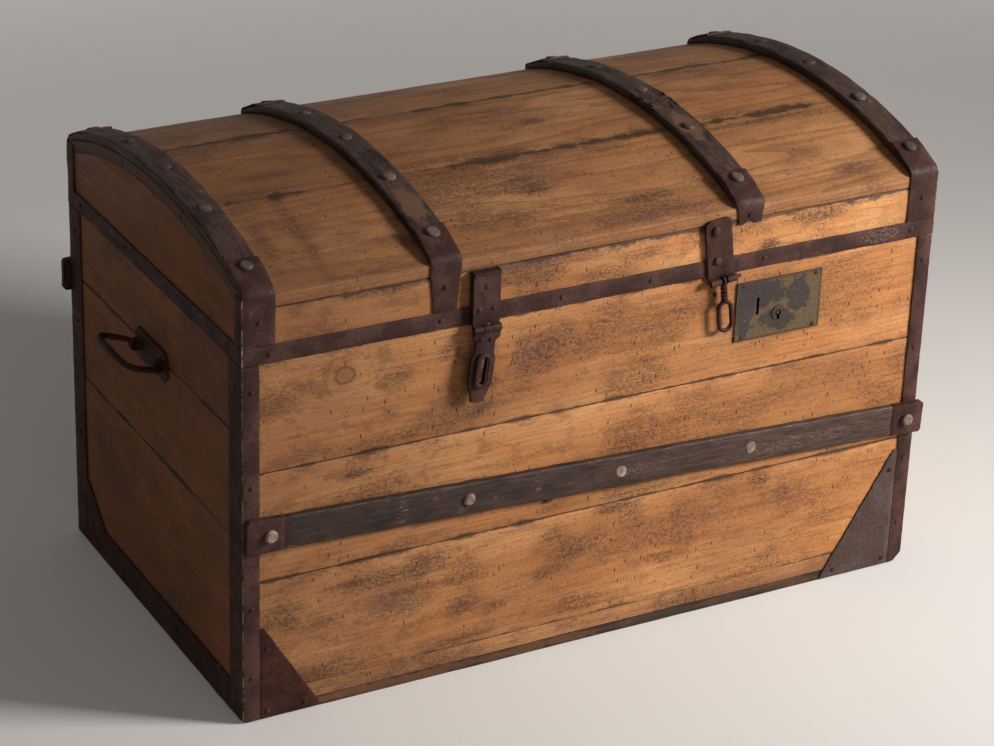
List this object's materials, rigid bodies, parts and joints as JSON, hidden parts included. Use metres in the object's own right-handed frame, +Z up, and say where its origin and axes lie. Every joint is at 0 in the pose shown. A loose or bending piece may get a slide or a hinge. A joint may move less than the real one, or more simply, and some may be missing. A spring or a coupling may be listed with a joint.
{
  "type": "dome top trunk",
  "caption": "Dome top plank trunk with iron-bound edges, a slatted lid on rear hinges, front hasps, a box lock and swinging bail handles for carrying.",
  "frame": {"origin": "on the floor under the middle of the case", "axes": "+X to the right along the front, -Y towards the front, +Z up"},
  "size_m": [1.0116, 0.5381, 0.587],
  "materials": {
    "pine": "worn oiled pine",
    "dome_pine": "greyed worn pine",
    "foot_wood": "dark, dirty wood",
    "dark_slat": "worn dark paint",
    "strap_iron": "brown, pitted",
    "forged_iron": "brown, forged",
    "lock_face": "olive-brown patina",
    "lock_works": "dull steel",
    "nail_iron": "worn grey-brown"
  },
  "bodies": {
    "base": {"runners": "foot_wood", "floor_boards": "foot_wood", "front_plank_lower": "pine", "front_plank_middle": "pine", "front_plank_upper": "pine", "back_planks": "pine", "left_plank_lower": "pine", "left_plank_middle": "pine", "left_plank_upper": "pine", "right_plank_lower": "pine", "right_plank_middle": "pine", "right_plank_upper": "pine", "front_left_corner_iron": "strap_iron", "front_right_corner_iron": "strap_iron", "rear_corner_irons": "strap_iron", "left_gusset": "strap_iron", "right_gusset": "strap_iron", "end_foot_irons": "strap_iron", "front_slat": "dark_slat", "rear_slat": "dark_slat", "slat_caps": "strap_iron", "slat_nails": "nail_iron", "base_tacks": "nail_iron", "lock_plate": "lock_face", "lock_case": "lock_works", "lock_spring": "lock_works", "key_pin": "lock_works", "left_handle_plate": "forged_iron", "right_handle_plate": "forged_iron", "hinge_base_leaves": "forged_iron", "hinge_pins": "forged_iron"},
    "lid": {"lid_front_rail": "pine", "lid_rear_rail": "pine", "lid_left_end": "pine", "lid_right_end": "pine", "dome_plank_front": "dome_pine", "dome_plank_middle": "dome_pine", "dome_plank_rear": "dome_pine", "lid_band": "strap_iron", "dome_slat_left_end": "dark_slat", "dome_slat_left": "dark_slat", "dome_slat_right": "dark_slat", "dome_slat_right_end": "dark_slat", "front_clamp_left_end": "strap_iron", "front_clamp_left": "strap_iron", "front_clamp_right": "strap_iron", "front_clamp_right_end": "strap_iron", "rear_clamps": "strap_iron", "dome_nails": "nail_iron", "lid_tacks": "nail_iron", "hinge_lid_leaves": "forged_iron", "left_hasp_leaf": "forged_iron", "left_hasp_pin": "forged_iron", "right_hasp_plate": "forged_iron", "right_hasp_pin": "forged_iron"},
    "left_hasp": {"left_hasp": "forged_iron"},
    "right_link": {"right_link": "forged_iron"},
    "left_bail": {"left_bail": "forged_iron"},
    "right_bail": {"right_bail": "forged_iron"},
    "lock_bolt": {"lock_bolt": "lock_works"}
  },
  "joints": [
    {"name": "lid_hinge", "type": "hinge", "parent": "base", "child": "lid", "pos_m": [0, 0.2605, 0.4473], "axis": [-1, 0, 0], "range_deg": [0, 100]},
    {"name": "left_hasp_swing", "type": "hinge", "parent": "lid", "child": "left_hasp", "pos_m": [-0.159, -0.26425, 0.443], "axis": [-1, 0, 0], "range_deg": [-3, 140]},
    {"name": "right_link_swing", "type": "hinge", "parent": "lid", "child": "right_link", "pos_m": [0.152, -0.26108, 0.443], "axis": [-0.9925, 0, -0.1219], "range_deg": [-3, 140]},
    {"name": "left_bail_swing", "type": "hinge", "parent": "base", "child": "left_bail", "pos_m": [-0.459, 0, 0.355], "axis": [0, 1, 0], "range_deg": [-106, 70]},
    {"name": "right_bail_swing", "type": "hinge", "parent": "base", "child": "right_bail", "pos_m": [0.459, 0, 0.355], "axis": [0, -1, 0], "range_deg": [-106, 70]},
    {"name": "lock_bolt_slide", "type": "slide", "parent": "base", "child": "lock_bolt", "axis": [-1, 0, 0], "range_m": [0, 0.012]}
  ]
}
